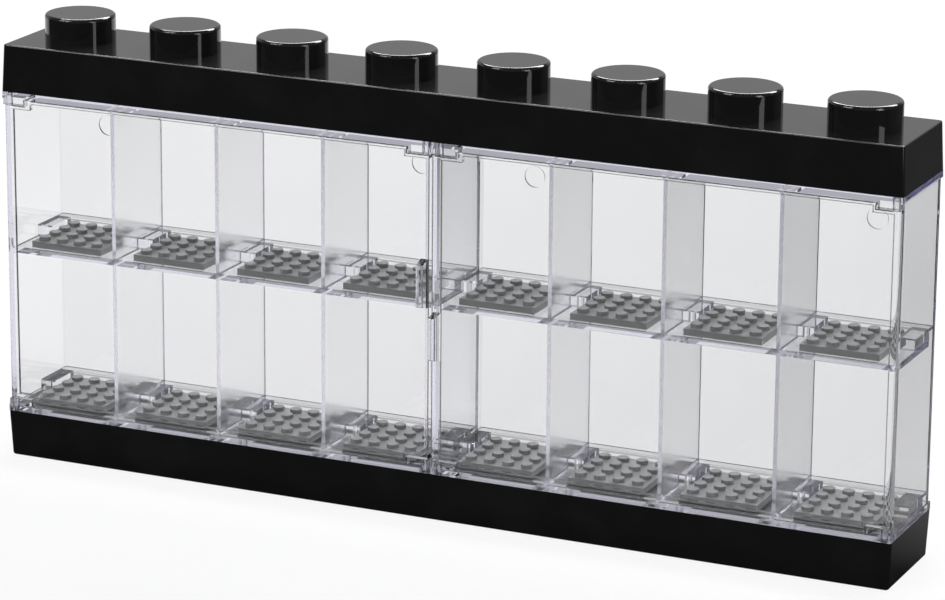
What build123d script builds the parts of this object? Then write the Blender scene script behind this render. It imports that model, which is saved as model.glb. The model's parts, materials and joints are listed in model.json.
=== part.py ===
from build123d import *
from math import atan2, degrees, hypot, sqrt
import os

# Minifigure display case
# Two clear housings stand side by side on a black base, under a black cap with a row of big
# studs. Each housing has a lower and an upper row of compartments with a grey stud plate in
# each, and is closed by one clear front door that swings on pins at its outer side.
# X runs to the right, Y to the back and Z up. The origin is the middle of the underside.
# All sizes are in millimetres.

# Big studs, the grid that the case is laid out on
stud_pitch = 47.75
stud_count = 8
stud_radius = 14.33
stud_height = 10.8
stud_wall = 2.0
stud_round = 1.3

# Cap and base
case_depth = 47.0
cap_height = 19.2
cap_top = 2.4
base_height = 19.2
base_deck = 2.4
shell_wall = 2.2
draft_inset = 0.8
corner_round = 1.5
cap_edge_round = 0.6
base_edge_round = 1.0
socket_wall = 1.8
socket_clearance = 0.15
web = 1.6
rest_gap = 0.05

# Housings
housing_height = 134.4
housing_gap = 0.2
slab = 2.6
slab_round = 0.8
wall_inset = 0.8
side_wall = 1.6
back_wall = 1.8
divider = 1.6
compartment_count = 4
shelf = 2.6
shelf_rise = 66.5
ledge_height = 4.6
ledge_depth = 20.9
ledge_chamfer = 0.5
ledge_wall = 1.4
mark_radius = 4.3
mark_depth = 0.8
mark_drop = 18.5
mark_inset = 24.4

# Doors
door_depth = 4.4
door_front_margin = 0.1
door_hinge_margin = 0.7
door_free_margin = 1.1
door_gap = 0.3
door_panel = 2.0
door_rim = 1.6
door_free_rim = 1.8
door_hinge_rim = 3.2
door_edge_round = 0.4

# Pull tab on each door's free edge
tab_width = 3.0
tab_reach = 5.5
tab_root = 19.6
tab_tip = 17.0
tab_rise = 0.65
tab_round = 0.6

# Corner lugs of the housings and hinge pins of the doors
lug_length = 9.3
lug_height = 2.6
lug_edge_margin = 0.6
lug_front_margin = 0.2
pin_radius = 1.55
pin_clearance = 0.05
pin_end_gap = 0.7
pin_chamfer = 0.3

# Snap tongues that hold each housing in the base and in the cap
tongue_width = 6.0
tongue_thickness = 1.2
tongue_length = 8.0
tongue_offset = 7.0
hook_reach = 0.6
hook_height = 2.0
snap_clearance = 0.15

# Stud plates
small_pitch = 8.0
small_count = 4
small_stud_radius = 2.4
small_stud_height = 1.7
small_stud_round = 0.2
plate_height = 3.2
plate_top = 1.2
plate_wall = 1.5
plate_joint_gap = 0.2
plate_front_margin = 2.4
seat_clearance = 0.15
seat_depth = 0.9

# Overall places that follow from the sizes above
case_width = stud_pitch * stud_count
housing_offset = case_width / 4
half_width = case_width / 4 - housing_gap / 2
half_depth = case_depth / 2

# Levels
housing_level = base_height + rest_gap
floor_level = housing_level + slab
shelf_level = floor_level + shelf_rise
housing_top = housing_level + housing_height
roof_level = housing_top - slab
cap_level = housing_top + rest_gap
middle_level = (floor_level + roof_level) / 2
summit_level = cap_level + cap_height

# Hollow inside the cap and the base, with upright walls
inner_x = case_width / 2 - draft_inset - shell_wall
inner_y = half_depth - draft_inset - shell_wall

# Front to back: door, its hinge axis, the walls behind it and the back wall
door_front = door_front_margin - half_depth
door_back = door_front + door_depth
hinge_y = (door_front + door_back) / 2
wall_front = door_back + door_gap
back_outside = half_depth - wall_inset
back_inside = back_outside - back_wall

# Across one housing, from its own middle
side_outside = half_width - wall_inset
side_inside = side_outside - side_wall
compartment_width = (2 * side_inside - (compartment_count - 1) * divider) / compartment_count
hinge_x = door_hinge_margin + door_depth / 2 - half_width
free_x = half_width - door_free_margin
lug_outside = half_width - lug_edge_margin
lug_inside = lug_outside - lug_length
catch_face = housing_offset - draft_inset - shell_wall

# Door outline from the door's own middle height. A notch at each corner goes round a lug,
# far enough in for the lug's far corner to stay clear as the door turns.
door_top = roof_level - door_gap - middle_level
notch_top = roof_level - lug_height - door_gap - middle_level
lug_corner_radius = hypot(-hinge_x - lug_inside, wall_front - hinge_y)
notch_x = -hinge_x - lug_corner_radius - door_gap

# Stud plates and the pocket that each one sits in
plate_size = small_pitch * small_count - plate_joint_gap
plate_y = wall_front + plate_front_margin + plate_size / 2


def block(x0, x1, y0, y1, z0, z1):
    # Box between two corners.
    middle = Pos((x0 + x1) / 2, (y0 + y1) / 2, (z0 + z1) / 2)
    return middle * Box(x1 - x0, y1 - y0, z1 - z0)


def post(x, y, z0, z1, radius):
    # Upright cylinder between two levels.
    return Pos(x, y, (z0 + z1) / 2) * Cylinder(radius, z1 - z0)


def centres(count, pitch):
    # Places of a centred row.
    return [(i - (count - 1) / 2) * pitch for i in range(count)]


def drafted_block(height, edge_round):
    # Block on its wide end at level 0, drawn in and rounded towards its narrow end on top.
    angle = degrees(atan2(draft_inset, height))
    body = extrude(Rectangle(case_width, case_depth), amount=height, taper=angle)
    body = fillet(body.edges().filter_by(Plane.XY, reverse=True), corner_round)
    return fillet(body.edges().group_by(Axis.Z)[-1], edge_round)


def tongue(side, y):
    # Snap tongue that hangs from level 0 at one end of a housing, with its hook outwards.
    face = catch_face - snap_clearance
    profile = Polyline(
        (face - tongue_thickness, 0),
        (face, 0),
        (face, hook_height - tongue_length),
        (face + hook_reach, hook_height - tongue_length),
        (face, -tongue_length),
        (face - tongue_thickness, -tongue_length),
        close=True,
    )
    strip = extrude(Plane.XZ * make_face(profile), amount=tongue_width / 2, both=True)
    turn = 0 if side > 0 else 180
    return Pos(0, y, 0) * Rot(0, 0, turn) * strip


def tongue_room(side, y):
    # Room for that tongue below level 0: the channel that it bends in and its hook's pocket.
    half = tongue_width / 2 + snap_clearance
    bottom = -tongue_length - snap_clearance
    inside = catch_face - tongue_thickness - hook_reach - 2 * snap_clearance
    hook_top = hook_height - tongue_length + snap_clearance
    channel = block(inside, catch_face, -half, half, bottom, 0)
    pocket = block(catch_face, catch_face + hook_reach, -half, half, bottom, hook_top)
    turn = 0 if side > 0 else 180
    return Pos(0, y, 0) * Rot(0, 0, turn) * (channel + pocket)


def at_tongues(make):
    # The given shape at both tongues of both ends of one housing.
    places = [(side, y) for side in (-1, 1) for y in (-tongue_offset, tongue_offset)]
    return [make(side, y) for side, y in places]


def catch_webs(z0, z1):
    # Two cross walls at the middle of the case that the inner tongues hook into.
    face = housing_offset - catch_face
    right = block(face - web, face, -inner_y, inner_y, z0, z1)
    return [right, mirror(right, about=Plane.YZ)]


def make_cap():
    body = Pos(0, 0, cap_level) * drafted_block(cap_height, cap_edge_round)
    stud = post(0, 0, summit_level, summit_level + stud_height, stud_radius)
    stud = fillet(stud.edges().group_by(Axis.Z)[-1], stud_round)
    ceiling = summit_level - cap_top
    hollow = block(-inner_x, inner_x, -inner_y, inner_y, cap_level, ceiling)
    stud_ceiling = summit_level + stud_height - cap_top
    stud_hollow = post(0, 0, ceiling, stud_ceiling, stud_radius - stud_wall)
    row = centres(stud_count, stud_pitch)
    body += [Pos(x, 0, 0) * stud for x in row]
    body -= [hollow] + [Pos(x, 0, 0) * stud_hollow for x in row]
    body += catch_webs(cap_level, ceiling)
    rooms = [Pos(0, 0, cap_level) * Rot(180, 0, 0) * room for room in at_tongues(tongue_room)]
    return body - at_housings(rooms)


def at_housings(cuts):
    # The given shapes under or over both housings.
    return [Pos(side * housing_offset, 0, 0) * cut for side in (-1, 1) for cut in cuts]


def make_base():
    # Outer shell of the base, open below.
    body = Pos(0, 0, base_height) * Rot(180, 0, 0) * drafted_block(base_height, base_edge_round)
    body -= block(-inner_x, inner_x, -inner_y, inner_y, 0, base_height - base_deck)
    rooms = [Pos(0, 0, base_height) * room for room in at_tongues(tongue_room)]
    return body - at_housings(rooms)


def make_base_sockets():
    # Stacking sockets inside the base and the webs that tie them to its walls, the same
    # moulding as the shell.
    ceiling = base_height - base_deck
    bore = stud_radius + socket_clearance
    row = centres(stud_count, stud_pitch)
    body = block(-inner_x, inner_x, -web / 2, web / 2, 0, ceiling)
    body += [block(x - web / 2, x + web / 2, -inner_y, inner_y, 0, ceiling) for x in row]
    body += [post(x, 0, 0, ceiling, bore + socket_wall) for x in row]
    body += catch_webs(0, ceiling)
    body -= [post(x, 0, 0, ceiling, bore) for x in row]
    rooms = [Pos(0, 0, base_height) * room for room in at_tongues(tongue_room)]
    return body - at_housings(rooms)


def slab_block(z0):
    # Floor or roof plate of a housing.
    body = block(-half_width, half_width, -half_depth, half_depth, z0, z0 + slab)
    return fillet(body.edges().filter_by(Axis.Z), slab_round)


def ledge_block(level):
    # Raised rear step of one row of compartments, with a pocket round each stud plate.
    front = back_inside - ledge_depth
    top = level + ledge_height
    body = block(-side_inside, side_inside, front, back_inside, level, top)
    front_edge = body.edges().group_by(Axis.Z)[-1].sort_by(Axis.Y)[0]
    body = chamfer(front_edge, ledge_chamfer)
    half = plate_size / 2 + seat_clearance
    pocket = block(-half, half, front, plate_y + half, level, top)
    return body - [Pos(x, 0, 0) * pocket for x in compartment_centres()]


def ledge_cores(level, thickness):
    # Hollow below the ledge behind each stud plate, open through the floor or shelf under it.
    front = plate_y + plate_size / 2 + seat_clearance + ledge_wall
    reach = compartment_width / 2
    bottom, top = level - thickness, level + ledge_height - ledge_wall
    core = block(-reach, reach, front, back_inside, bottom, top)
    return [Pos(x, 0, 0) * core for x in compartment_centres()]


def plate_seats(level):
    # Shallow seats in a floor or shelf, in which the stud plates stand.
    half = plate_size / 2 + seat_clearance
    seat = block(-half, half, plate_y - half, plate_y + half, level - seat_depth, level)
    return [Pos(x, 0, 0) * seat for x in compartment_centres()]


def compartment_centres():
    return centres(compartment_count, compartment_width + divider)


def lug_block(side, z0):
    # Corner lug in front of the walls, on the inside of a slab.
    ends = sorted((side * lug_inside, side * lug_outside))
    front = lug_front_margin - half_depth
    return block(*ends, front, wall_front, z0, z0 + lug_height)


def make_housing():
    # One housing about its own middle in X. Both are the same moulding.
    body = slab_block(housing_level) + slab_block(roof_level)
    body += [
        block(-side_outside, -side_inside, wall_front, back_outside, floor_level, roof_level),
        block(side_inside, side_outside, wall_front, back_outside, floor_level, roof_level),
        block(-side_inside, side_inside, back_inside, back_outside, floor_level, roof_level),
        block(-side_inside, side_inside, wall_front, back_inside, shelf_level - shelf, shelf_level),
    ]
    body += [ledge_block(floor_level), ledge_block(shelf_level)]
    body -= ledge_cores(floor_level, slab) + ledge_cores(shelf_level, shelf)
    body -= plate_seats(floor_level) + plate_seats(shelf_level)
    wall = block(-divider / 2, divider / 2, wall_front, back_inside, floor_level, roof_level)
    body += [Pos(x, 0, 0) * wall for x in centres(compartment_count - 1, compartment_width + divider)]
    lug_levels = (floor_level, roof_level - lug_height)
    body += [lug_block(side, z) for side in (-1, 1) for z in lug_levels]
    hole = post(hinge_x, hinge_y, housing_level, housing_top, pin_radius + pin_clearance)
    low_end = block(-half_width, 0, -half_depth, wall_front, housing_level, floor_level + lug_height)
    slot = hole & low_end
    slots = [slot, Pos(0, 0, roof_level - lug_height - housing_level) * slot]
    body -= slots + [mirror(cut, about=Plane.YZ) for cut in slots]
    mark = Rot(90, 0, 0) * Cylinder(mark_radius, 2 * mark_depth)
    mark = Pos(0, back_inside, roof_level - mark_drop) * mark
    body -= [Pos(side * (half_width - mark_inset), 0, 0) * mark for side in (-1, 1)]
    tongues = at_tongues(tongue)
    body += [Pos(0, 0, housing_level) * strip for strip in tongues]
    body += [Pos(0, 0, housing_top) * Rot(180, 0, 0) * strip for strip in tongues]
    return body


def stepped_face(x0, x1, top, step_x, step_top):
    # Upright outline from x0 to x1 and up and down to top, with a step in each corner.
    quarter = [(step_x, step_top), (step_x, top)]
    upper = [(x1, step_top)] + quarter + [(-x, z) for x, z in reversed(quarter)] + [(x0, step_top)]
    lower = [(x, -z) for x, z in reversed(upper)]
    return Plane.XZ * make_face(Polyline(*upper, *lower, close=True))


def make_door():
    # The left door about the middle of its housing in X and about its own middle height.
    outline = stepped_face(hinge_x, free_x, door_top, notch_x, notch_top)
    body = Pos(0, door_back, 0) * extrude(outline, amount=door_depth)
    front_edges = body.edges().group_by(Axis.Y)[0].sort_by(Axis.X)[1:]
    body = fillet(front_edges, door_edge_round)
    body += post(hinge_x, hinge_y, -notch_top, notch_top, door_depth / 2)
    rim_x = hinge_x - door_depth / 2 + door_hinge_rim
    recess = stepped_face(
        rim_x,
        free_x - door_free_rim,
        door_top - door_rim,
        notch_x - door_rim,
        notch_top - door_rim,
    )
    body -= Pos(0, door_back, 0) * extrude(recess, amount=door_depth - door_panel)
    pin_top = housing_top - pin_end_gap - middle_level
    pin = post(hinge_x, hinge_y, notch_top, pin_top, pin_radius)
    pin = chamfer(pin.edges().group_by(Axis.Z)[-1], pin_chamfer)
    return body + [pin, mirror(pin, about=Plane.XY), pull_tab()]


def pull_tab():
    # Fin on the door's free edge, drawn in towards its tip.
    middle = tab_rise + tab_root / 2
    side = Polyline(
        (door_front, middle - tab_root / 2),
        (door_front - tab_reach, middle - tab_tip / 2),
        (door_front - tab_reach, middle + tab_tip / 2),
        (door_front, middle + tab_root / 2),
        close=True,
    )
    fin = extrude(Plane.YZ * make_face(side), amount=tab_width / 2, both=True)
    fin = Pos(free_x - tab_width / 2, 0, 0) * fin
    return fillet(fin.edges().group_by(Axis.Y)[0], tab_round)


def make_stud_plate():
    # Stud plate about its own middle, standing on level 0, hollow and with tubes below.
    half = plate_size / 2
    body = block(-half, half, -half, half, 0, plate_height)
    room = half - plate_wall
    body -= block(-room, room, -room, room, 0, plate_height - plate_top)
    stud = post(0, 0, plate_height, plate_height + small_stud_height, small_stud_radius)
    stud = fillet(stud.edges().group_by(Axis.Z)[-1], small_stud_round)
    grid = centres(small_count, small_pitch)
    body += [Pos(x, y, 0) * stud for x in grid for y in grid]
    tube_radius = small_pitch / sqrt(2) - small_stud_radius
    tube = post(0, 0, 0, plate_height - plate_top, tube_radius)
    tube -= post(0, 0, 0, plate_height - plate_top, small_stud_radius)
    gaps = centres(small_count - 1, small_pitch)
    return body + [Pos(x, y, 0) * tube for x in gaps for y in gaps]


# The pieces, each in its own place
housing = make_housing()
door = make_door()
stud_plate = make_stud_plate()
pieces = {
    "base": make_base(),
    "base_sockets": make_base_sockets(),
    "top_cap": make_cap(),
    "housing_left": Pos(-housing_offset, 0, 0) * housing,
    "housing_right": Pos(housing_offset, 0, 0) * housing,
    "door_left": Pos(-housing_offset, 0, middle_level) * door,
    "door_right": Pos(housing_offset, 0, middle_level) * Rot(0, 180, 0) * door,
}
for row_name, level in (("lower", floor_level), ("upper", shelf_level)):
    places = [side * housing_offset + x for side in (-1, 1) for x in compartment_centres()]
    for number, x in enumerate(places, start=1):
        pieces[f"stud_plate_{row_name}_{number}"] = Pos(x, plate_y, level - seat_depth + rest_gap) * stud_plate

os.makedirs("parts", exist_ok=True)
for name, shape in pieces.items():
    export_step(shape, f"parts/{name}.step")
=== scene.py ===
import json
import math

import bpy
from mathutils import Matrix, Vector

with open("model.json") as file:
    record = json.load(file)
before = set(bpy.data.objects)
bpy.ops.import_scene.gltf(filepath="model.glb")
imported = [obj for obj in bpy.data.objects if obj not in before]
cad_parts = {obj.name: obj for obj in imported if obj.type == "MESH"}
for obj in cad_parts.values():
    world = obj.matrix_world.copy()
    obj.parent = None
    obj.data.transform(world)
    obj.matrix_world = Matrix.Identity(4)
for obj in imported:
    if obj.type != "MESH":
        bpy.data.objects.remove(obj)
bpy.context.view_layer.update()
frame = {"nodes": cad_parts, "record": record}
print("frame loaded:", len(frame["nodes"]), "nodes")

mm = 0.001
nodes = frame["nodes"]


# Material helpers

def newMaterial(name):
    mat = bpy.data.materials.new(name)
    mat.use_nodes = True
    tree = mat.node_tree
    tree.nodes.clear()
    output = tree.nodes.new("ShaderNodeOutputMaterial")
    shader = tree.nodes.new("ShaderNodeBsdfPrincipled")
    tree.links.new(shader.outputs["BSDF"], output.inputs["Surface"])
    return mat, tree, output, shader


def objectCoords(tree):
    return tree.nodes.new("ShaderNodeTexCoord").outputs["Object"]


def noise(tree, coords, pattern):
    tex = tree.nodes.new("ShaderNodeTexNoise")
    tex.inputs["Scale"].default_value = pattern["scale"]
    tex.inputs["Detail"].default_value = pattern["detail"]
    tex.inputs["Roughness"].default_value = pattern.get("roughness", 0.5)
    tree.links.new(coords, tex.inputs["Vector"])
    return tex.outputs["Fac"]


def remap(tree, value, fromMin, fromMax, toMin, toMax):
    node = tree.nodes.new("ShaderNodeMapRange")
    node.inputs["From Min"].default_value = fromMin
    node.inputs["From Max"].default_value = fromMax
    node.inputs["To Min"].default_value = toMin
    node.inputs["To Max"].default_value = toMax
    tree.links.new(value, node.inputs["Value"])
    return node.outputs["Result"]


def math2(tree, operation, a, b):
    node = tree.nodes.new("ShaderNodeMath")
    node.operation = operation
    for socket, value in zip(node.inputs, (a, b)):
        if isinstance(value, (int, float)):
            socket.default_value = value
        else:
            tree.links.new(value, socket)
    return node.outputs[0]


def mixColour(tree, factor, a, b):
    node = tree.nodes.new("ShaderNodeMix")
    node.data_type = "RGBA"
    tree.links.new(factor, node.inputs[0])
    node.inputs[6].default_value = (*a, 1)
    node.inputs[7].default_value = (*b, 1)
    return node.outputs[2]


def bump(tree, height, depth, normal=None):
    node = tree.nodes.new("ShaderNodeBump")
    node.inputs["Distance"].default_value = depth
    node.inputs["Strength"].default_value = 1.0
    tree.links.new(height, node.inputs["Height"])
    if normal is not None:
        tree.links.new(normal, node.inputs["Normal"])
    return node.outputs["Normal"]


def diffuse(tree, colour):
    node = tree.nodes.new("ShaderNodeBsdfDiffuse")
    node.inputs["Color"].default_value = (*colour, 1)
    return node.outputs[0]


def mixShader(tree, factor, first, second):
    node = tree.nodes.new("ShaderNodeMixShader")
    if isinstance(factor, float):
        node.inputs[0].default_value = factor
    else:
        tree.links.new(factor, node.inputs[0])
    tree.links.new(first, node.inputs[1])
    tree.links.new(second, node.inputs[2])
    return node.outputs[0]


# Black gloss plastic of the base and the cap

blackFinish = {
    "colour": (0.009, 0.009, 0.0095),
    "dustColour": (0.015, 0.015, 0.0155),
    "roughness": (0.045, 0.11),
    "smudge": {"scale": 38.0, "detail": 4.0, "roughness": 0.6},
    "smudgeSpan": (0.35, 0.75),
    "dustSpan": (0.5, 0.8),
    "flow": {"scale": 22.0, "detail": 0.0},
    "flowDepth": 0.05 * mm,
    "grain": {"scale": 1400.0, "detail": 1.0},
    "grainDepth": 0.004 * mm,
    "ior": 1.5,
}


def makeBlackPlastic(finish):
    mat, tree, output, shader = newMaterial("blackGlossPlastic")
    coords = objectCoords(tree)
    smudge = noise(tree, coords, finish["smudge"])
    grain = noise(tree, coords, finish["grain"])
    flow = noise(tree, coords, finish["flow"])
    roughness = remap(tree, smudge, *finish["smudgeSpan"], *finish["roughness"])
    tree.links.new(roughness, shader.inputs["Roughness"])
    dust = remap(tree, smudge, *finish["dustSpan"], 0.0, 1.0)
    colour = mixColour(tree, dust, finish["colour"], finish["dustColour"])
    tree.links.new(colour, shader.inputs["Base Color"])
    shader.inputs["IOR"].default_value = finish["ior"]
    normal = bump(tree, flow, finish["flowDepth"])
    normal = bump(tree, grain, finish["grainDepth"], normal)
    tree.links.new(normal, shader.inputs["Normal"])
    return mat


# Clear polished plastic of the housings and the doors

clearFinish = {
    "colour": (0.985, 0.987, 0.99),
    "roughness": (0.0, 0.035),
    "haze": {"scale": 26.0, "detail": 5.0, "roughness": 0.65},
    "hazeSpan": (0.5, 0.8),
    "flow": {"scale": 30.0, "detail": 1.0},
    "flowDepth": 0.06 * mm,
    "ior": 1.57,
    "shadowTint": (0.93, 0.93, 0.94),
    "depthColour": (0.62, 0.62, 0.86),
    "depthDensity": 10.0,
}

# The dividers inside the housings are hazier than the outer walls
dividerFinish = {
    "housingOffset": 95.5 * mm,
    "pitch": 46.9 * mm,
    "halfThickness": 0.85 * mm,
    "reach": 60.0 * mm,
    "roughness": 0.13,
}


def dividerMask(tree, coords, finish):
    # 1 on the dividers of both housings, by their places along X
    parts = tree.nodes.new("ShaderNodeSeparateXYZ")
    tree.links.new(coords, parts.inputs[0])
    across = math2(tree, "ABSOLUTE", parts.outputs["X"], 0.0)
    fromMiddle = math2(tree, "SUBTRACT", across, finish["housingOffset"])
    toDivider = math2(tree, "PINGPONG", fromMiddle, finish["pitch"] / 2)
    close = math2(tree, "LESS_THAN", toDivider, finish["halfThickness"])
    inside = math2(tree, "LESS_THAN", math2(tree, "ABSOLUTE", fromMiddle, 0.0), finish["reach"])
    return math2(tree, "MULTIPLY", close, inside)


def makeClearPlastic(name, finish, dividers=None):
    mat, tree, output, shader = newMaterial(name)
    coords = objectCoords(tree)
    haze = noise(tree, coords, finish["haze"])
    flow = noise(tree, coords, finish["flow"])
    roughness = remap(tree, haze, *finish["hazeSpan"], *finish["roughness"])
    if dividers:
        mask = dividerMask(tree, coords, dividers)
        hazier = math2(tree, "MULTIPLY", mask, dividers["roughness"])
        roughness = math2(tree, "MAXIMUM", roughness, hazier)
    tree.links.new(roughness, shader.inputs["Roughness"])
    shader.inputs["Base Color"].default_value = (*finish["colour"], 1)
    shader.inputs["IOR"].default_value = finish["ior"]
    shader.inputs["Transmission Weight"].default_value = 1.0
    tree.links.new(bump(tree, flow, finish["flowDepth"]), shader.inputs["Normal"])
    # Light for shadows passes straight through
    shadow = tree.nodes.new("ShaderNodeBsdfTransparent")
    shadow.inputs["Color"].default_value = (*finish["shadowTint"], 1)
    isShadow = tree.nodes.new("ShaderNodeLightPath").outputs["Is Shadow Ray"]
    surface = mixShader(tree, isShadow, shader.outputs["BSDF"], shadow.outputs["BSDF"])
    tree.links.new(surface, output.inputs["Surface"])
    depth = tree.nodes.new("ShaderNodeVolumeAbsorption")
    depth.inputs["Color"].default_value = (*finish["depthColour"], 1)
    depth.inputs["Density"].default_value = finish["depthDensity"]
    tree.links.new(depth.outputs["Volume"], output.inputs["Volume"])
    return mat


# Grey plastic of the stud plates

greyFinish = {
    "colour": (0.125, 0.127, 0.124),
    "wornColour": (0.15, 0.152, 0.149),
    "roughness": (0.1, 0.18),
    "mottle": {"scale": 90.0, "detail": 3.0},
    "mottleSpan": (0.3, 0.7),
    "grain": {"scale": 1800.0, "detail": 1.0},
    "grainDepth": 0.004 * mm,
    "edgeRound": 0.16 * mm,
    "edgeSamples": 4,
}


def makeGreyPlastic(finish):
    mat, tree, output, shader = newMaterial("greyPlatePlastic")
    coords = objectCoords(tree)
    mottle = noise(tree, coords, finish["mottle"])
    grain = noise(tree, coords, finish["grain"])
    colour = mixColour(tree, mottle, finish["colour"], finish["wornColour"])
    tree.links.new(colour, shader.inputs["Base Color"])
    roughness = remap(tree, mottle, *finish["mottleSpan"], *finish["roughness"])
    tree.links.new(roughness, shader.inputs["Roughness"])
    edges = tree.nodes.new("ShaderNodeBevel")
    edges.samples = finish["edgeSamples"]
    edges.inputs["Radius"].default_value = finish["edgeRound"]
    normal = bump(tree, grain, finish["grainDepth"], edges.outputs["Normal"])
    tree.links.new(normal, shader.inputs["Normal"])
    return mat


blackPlastic = makeBlackPlastic(blackFinish)
doorPlastic = makeClearPlastic("clearDoorPlastic", clearFinish)
housingPlastic = makeClearPlastic("clearHousingPlastic", clearFinish, dividerFinish)
greyPlastic = makeGreyPlastic(greyFinish)
slotOfNode = {part["node"]: part["material_slot"] for part in frame["record"]["subparts"]}
for name, node in nodes.items():
    if name.startswith("housing"):
        material = housingPlastic
    elif name.startswith("door"):
        material = doorPlastic
    elif slotOfNode[name] == "grey_plastic":
        material = greyPlastic
    else:
        material = blackPlastic
    for slot in node.material_slots:
        slot.material = material
print("materials assigned to", len(nodes), "nodes")


# Floor, world, lamps and camera. Straight rays see white; through the clear plastic the floor
# glow is painted shade, a little darker towards the right.
# Mirrored rays see a studio that is bright behind the object and dark in front of it; on the
# floor this is a painted reflection glow.

insideLevels = (0.1, 0.3)  # for rays mirrored once, or more often, inside clear plastic


def insideGlow(tree, path):
    level = remap(tree, path.outputs["Glossy Depth"], 1.0, 2.0, *insideLevels)
    return math2(tree, "MULTIPLY", path.outputs["Is Transmission Ray"], level)


def bySort(tree, path, bounced, mirrored, straight):
    # One shader for light that bounces, one for mirrored rays and one for straight ones
    wasMirrored = math2(tree, "GREATER_THAN", path.outputs["Glossy Depth"], 0.5)
    isCamera, isThrough = path.outputs["Is Camera Ray"], path.outputs["Is Transmission Ray"]
    isSeen = math2(tree, "MAXIMUM", isCamera, isThrough)
    isStraight = math2(tree, "SUBTRACT", isSeen, wasMirrored)
    isStraight = math2(tree, "MAXIMUM", isStraight, 0.0)
    unseen = mixShader(tree, wasMirrored, bounced, mirrored)
    return mixShader(tree, isStraight, unseen, straight)


floorSet = {
    "size": 12.0,
    "colour": (0.12, 0.12, 0.12),
    "seenColour": (0.55, 0.55, 0.55),
    "shadowShare": 0.12,
    # painted shade: the floor glow seen straight through the clear plastic is darker towards
    # the right
    "throughShadeToRight": (-0.3, 0.15, 1.0, 0.88),
    # painted reflection: the floor glows for mirrored rays, bright behind the object and fading
    # to the right
    "mirrorBehind": (0.0, 0.12),
    "mirrorFade": (0.0, 0.3, 1.0, 0.03),
    "mirrorColour": (0.02, 0.02, 0.02),
}


def makeFloor(settings):
    mesh = bpy.data.meshes.new("floor")
    half = settings["size"] / 2
    corners = [(-half, -half, 0), (half, -half, 0), (half, half, 0), (-half, half, 0)]
    mesh.from_pydata(corners, [], [(0, 1, 2, 3)])
    floor = bpy.data.objects.new("floor", mesh)
    bpy.context.scene.collection.objects.link(floor)
    mat = bpy.data.materials.new("paleFloor")
    mat.use_nodes = True
    tree = mat.node_tree
    tree.nodes.clear()
    output = tree.nodes.new("ShaderNodeOutputMaterial")
    place = tree.nodes.new("ShaderNodeSeparateXYZ")
    tree.links.new(objectCoords(tree), place.inputs[0])
    path = tree.nodes.new("ShaderNodeLightPath")
    # What straight rays see: a glow with a little of the real light, for the shadow. Seen
    # through the clear plastic the glow is painted shade, darker towards the right.
    glow = tree.nodes.new("ShaderNodeEmission")
    throughPaintedShade = remap(tree, place.outputs["X"], *settings["throughShadeToRight"])
    strength = math2(tree, "MAXIMUM", throughPaintedShade, path.outputs["Is Camera Ray"])
    tree.links.new(strength, glow.inputs["Strength"])
    lit = diffuse(tree, settings["seenColour"])
    straight = mixShader(tree, settings["shadowShare"], glow.outputs[0], lit)
    # What mirrored rays see: a painted reflection, the floor glowing bright behind the object
    # and fading to the right, and faintly in front for rays mirrored inside clear plastic
    behind = remap(tree, place.outputs["Y"], *settings["mirrorBehind"], 0.0, 1.0)
    sideways = remap(tree, place.outputs["X"], *settings["mirrorFade"])
    back = math2(tree, "MULTIPLY", behind, sideways)
    inFront = math2(tree, "SUBTRACT", 1.0, behind)
    front = math2(tree, "MULTIPLY", inFront, insideGlow(tree, path))
    floorPaintedReflection = tree.nodes.new("ShaderNodeEmission")
    tree.links.new(math2(tree, "ADD", back, front), floorPaintedReflection.inputs["Strength"])
    mirrored = tree.nodes.new("ShaderNodeAddShader")
    tree.links.new(diffuse(tree, settings["mirrorColour"]), mirrored.inputs[0])
    tree.links.new(floorPaintedReflection.outputs[0], mirrored.inputs[1])
    bounced = diffuse(tree, settings["colour"])
    surface = bySort(tree, path, bounced, mirrored.outputs[0], straight)
    tree.links.new(surface, output.inputs["Surface"])
    mesh.materials.append(mat)


worldSet = {
    "ambient": 0.45,
    "glossyDim": 0.18,
    "bandTop": (0.42, 0.62),
    "bandSide": (-0.25, 0.1),
    "bandRight": (0.1, 0.6, 1.0, 0.15),
    "bandLevel": 0.66,
}


def makeWorld(settings):
    world = bpy.data.worlds.new("studio")
    bpy.context.scene.world = world
    world.use_nodes = True
    tree = world.node_tree
    tree.nodes.clear()
    output = tree.nodes.new("ShaderNodeOutputWorld")
    direction = tree.nodes.new("ShaderNodeTexCoord").outputs["Generated"]
    parts = tree.nodes.new("ShaderNodeSeparateXYZ")
    tree.links.new(direction, parts.inputs[0])
    # A bright band behind the object, fading upwards and to the right
    below = remap(tree, parts.outputs["Z"], *settings["bandTop"], 1.0, 0.0)
    behind = remap(tree, parts.outputs["Y"], *settings["bandSide"], 0.0, 1.0)
    band = math2(tree, "MULTIPLY", below, behind)
    sideways = remap(tree, parts.outputs["X"], *settings["bandRight"])
    band = math2(tree, "MULTIPLY", band, sideways)
    band = math2(tree, "MULTIPLY", band, settings["bandLevel"])
    path = tree.nodes.new("ShaderNodeLightPath")
    mirrorGlow = math2(tree, "MAXIMUM", band, settings["glossyDim"])
    mirrorGlow = math2(tree, "MAXIMUM", mirrorGlow, insideGlow(tree, path))
    ambient = tree.nodes.new("ShaderNodeBackground")
    ambient.inputs["Strength"].default_value = settings["ambient"]
    mirrored = tree.nodes.new("ShaderNodeBackground")
    tree.links.new(mirrorGlow, mirrored.inputs["Strength"])
    white = tree.nodes.new("ShaderNodeBackground")
    surface = bySort(tree, path, ambient.outputs[0], mirrored.outputs[0], white.outputs[0])
    tree.links.new(surface, output.inputs["Surface"])


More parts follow.
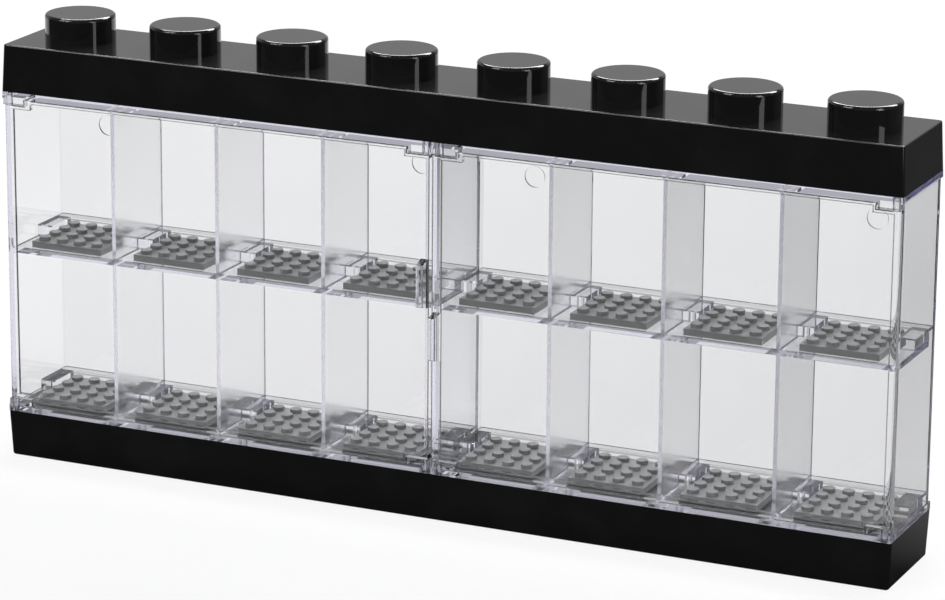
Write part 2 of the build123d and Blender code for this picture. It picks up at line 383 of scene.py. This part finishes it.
lampSet = {
    "key": {"place": (-0.9, -1.1, 1.5), "width": 1.0, "height": 1.0, "power": 18.0},
    "topBack": {"place": (0.0, 1.1, 1.3), "width": 2.2, "height": 0.5, "power": 52.0},
    "strip": {"place": (0.85, -0.25, 0.35), "width": 0.22, "height": 0.6, "power": 2.2},
}
lampAim = (0, 0, 0.09)


def makeLamp(name, settings):
    data = bpy.data.lights.new(name, "AREA")
    data.shape = "RECTANGLE"
    data.size = settings["width"]
    data.size_y = settings["height"]
    data.energy = settings["power"]
    lamp = bpy.data.objects.new(name, data)
    bpy.context.scene.collection.objects.link(lamp)
    place = Vector(settings["place"])
    aim = Vector(lampAim) - place
    lamp.rotation_euler = aim.to_track_quat("-Z", "Y").to_euler()
    lamp.location = place
    lamp.visible_transmission = False  # no hard glints inside the clear parts


cameraSet = {
    "place": (668.079 * mm, -1464.707 * mm, 553.182 * mm),
    "azimuth": 24.285,
    "elevation": 16.235,
    "roll": 0.451,
    "focal": 4256.7,  # in widths of one picture element
    "imageWidth": 945,
    "sensor": 36.0,
    "farClip": 50.0,
}


def makeCamera(settings):
    azimuth = math.radians(settings["azimuth"])
    elevation = math.radians(settings["elevation"])
    back = Vector((
        math.sin(azimuth) * math.cos(elevation),
        -math.cos(azimuth) * math.cos(elevation),
        math.sin(elevation),
    ))
    right = Vector((math.cos(azimuth), math.sin(azimuth), 0))
    up = back.cross(right)
    turn = Matrix((right, up, back)).transposed().to_4x4()
    roll = Matrix.Rotation(math.radians(settings["roll"]), 4, "Z")
    data = bpy.data.cameras.new("camera")
    data.sensor_width = settings["sensor"]
    data.lens = settings["focal"] * settings["sensor"] / settings["imageWidth"]
    data.clip_end = settings["farClip"]
    camera = bpy.data.objects.new("camera", data)
    bpy.context.scene.collection.objects.link(camera)
    camera.matrix_world = Matrix.Translation(settings["place"]) @ turn @ roll
    bpy.context.scene.camera = camera


makeFloor(floorSet)
makeWorld(worldSet)
for name, settings in lampSet.items():
    makeLamp(name, settings)
makeCamera(cameraSet)
scene = bpy.context.scene
scene.view_settings.view_transform = "Standard"

# A line of sight along the case crosses many clear walls
wallCrossings = 40
scene.cycles.max_bounces = wallCrossings
scene.cycles.transmission_bounces = wallCrossings
scene.cycles.glossy_bounces = wallCrossings
scene.cycles.transparent_max_bounces = wallCrossings
print("stage, lamps and camera made")
